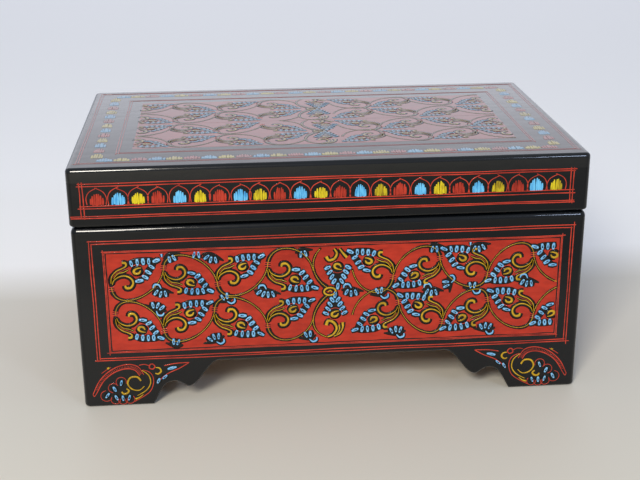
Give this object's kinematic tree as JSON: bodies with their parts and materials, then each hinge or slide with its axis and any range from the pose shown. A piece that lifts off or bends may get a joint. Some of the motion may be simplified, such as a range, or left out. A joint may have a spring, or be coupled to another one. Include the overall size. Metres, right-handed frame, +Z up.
{
  "type": "wind-up music box",
  "caption": "Rectangular lacquered wooden music box on bracket feet, with a hinged hollow lid, lined compartments and a wind-up pinned-cylinder movement.",
  "frame": {"origin": "middle of the bounding box's base: the feet stand on Z = 0, and the box's width and depth (hinge knuckles included) are centred on Z", "axes": "+X to the box's right as seen from the front, -Y out of the decorated front, +Z up"},
  "size_m": [0.2506, 0.1616, 0.1246],
  "materials": {
    "lacquered_wood": "gloss lacquer, painted",
    "bare_wood": "bare",
    "partition_wood": "satin black",
    "dark_wood": "satin black",
    "velvet": "velvet",
    "felt": "felt",
    "clear_pane": "clear",
    "mirror": "polished",
    "hinge_brass": "polished",
    "movement_brass": "satin",
    "steel": "satin",
    "zinc_casting": "cast, plain",
    "moulded_plastic": "moulded"
  },
  "bodies": {
    "case": {"front_board": "lacquered_wood", "back_board": "lacquered_wood", "left_board": "lacquered_wood", "right_board": "lacquered_wood", "bottom_panel": "bare_wood", "corner_blocks": "bare_wood", "bay_partition": "partition_wood", "cross_partition": "partition_wood", "compartment_lining": "velvet", "compartment_pad": "velvet", "ring_cushion": "velvet", "cover_ledges": "bare_wood", "cover_pane": "clear_pane", "cover_screws": "hinge_brass", "case_hinge_leaf_left": "hinge_brass", "case_hinge_leaf_right": "hinge_brass", "case_hinge_screws": "hinge_brass", "hinge_pin_left": "hinge_brass", "hinge_pin_right": "hinge_brass", "bedplate": "zinc_casting", "movement_screws": "steel", "spring_housing": "movement_brass", "mainspring": "steel", "barrel_bridge": "steel", "comb": "steel", "comb_base": "zinc_casting", "governor_frame": "zinc_casting", "movement_frame_screws": "steel"},
    "lid": {"lid_top_board": "lacquered_wood", "lid_front_rail": "lacquered_wood", "lid_back_rail": "lacquered_wood", "lid_left_rail": "lacquered_wood", "lid_right_rail": "lacquered_wood", "lid_lining": "velvet", "lid_mirror": "mirror", "mirror_frame": "dark_wood", "stop_striker": "dark_wood", "lid_hinge_leaf_left": "hinge_brass", "lid_hinge_leaf_right": "hinge_brass", "lid_hinge_screws": "hinge_brass"},
    "great_wheel": {"great_wheel": "movement_brass", "click_stud": "steel"},
    "click": {"click": "steel"},
    "winder": {"winding_arbor": "steel", "ratchet_wheel": "steel", "winding_key": "steel"},
    "cylinder": {"cylinder": "movement_brass", "cylinder_arbor": "steel", "drive_pinion": "movement_brass", "relay_wheel": "movement_brass"},
    "relay": {"relay_arbor": "movement_brass", "worm_wheel": "moulded_plastic"},
    "governor": {"worm_shaft": "steel", "fly": "moulded_plastic"},
    "stop": {"stop_plunger": "steel", "brake_pad": "felt", "plunger_spring": "steel"}
  },
  "joints": [
    {"name": "lid_hinge", "type": "hinge", "parent": "case", "child": "lid", "pos_m": [0, 0.07826, 0.09555], "axis": [-1, 0, 0], "range_deg": [0, 100]},
    {"name": "stop_slide", "type": "slide", "parent": "case", "child": "stop", "axis": [0, 0, 1], "range_m": [0, 0.003], "stiffness_N_per_m": 40, "springref_m": 0.006, "deforming": ["plunger_spring"]},
    {"name": "great_wheel_turn", "type": "hinge", "parent": "case", "child": "great_wheel", "pos_m": [0.0995, 0.04396, 0.0416], "axis": [0, 0, 1], "continuous": true},
    {"name": "click_lift", "type": "hinge", "parent": "great_wheel", "child": "click", "pos_m": [0.1051, 0.05056, 0.0428], "axis": [0, 0, 1], "range_deg": [0, 12], "stiffness_Nm_per_rad": 0.0005, "springref_deg": -11.46},
    {"name": "winding_turn", "type": "hinge", "parent": "great_wheel", "child": "winder", "pos_m": [0.0995, 0.04396, 0.031], "axis": [0, 0, 1], "continuous": true},
    {"name": "cylinder_turn", "type": "hinge", "parent": "case", "child": "cylinder", "pos_m": [0.0875, 0.04396, 0.04946], "axis": [1, 0, 0], "continuous": true},
    {"name": "relay_turn", "type": "hinge", "parent": "case", "child": "relay", "pos_m": [0.063, 0.05186, 0.04659], "axis": [1, 0, 0], "continuous": true},
    {"name": "governor_turn", "type": "hinge", "parent": "case", "child": "governor", "pos_m": [0.0597, 0.05946, 0.04659], "axis": [0, 0, 1], "continuous": true}
  ],
  "couplings": [
    {"joint": "stop_slide", "follows": "lid_hinge", "m_per_rad": 0.0017187},
    {"joint": "cylinder_turn", "follows": "great_wheel_turn", "ratio": -2},
    {"joint": "relay_turn", "follows": "great_wheel_turn", "ratio": 6.4},
    {"joint": "governor_turn", "follows": "great_wheel_turn", "ratio": -153.6}
  ]
}
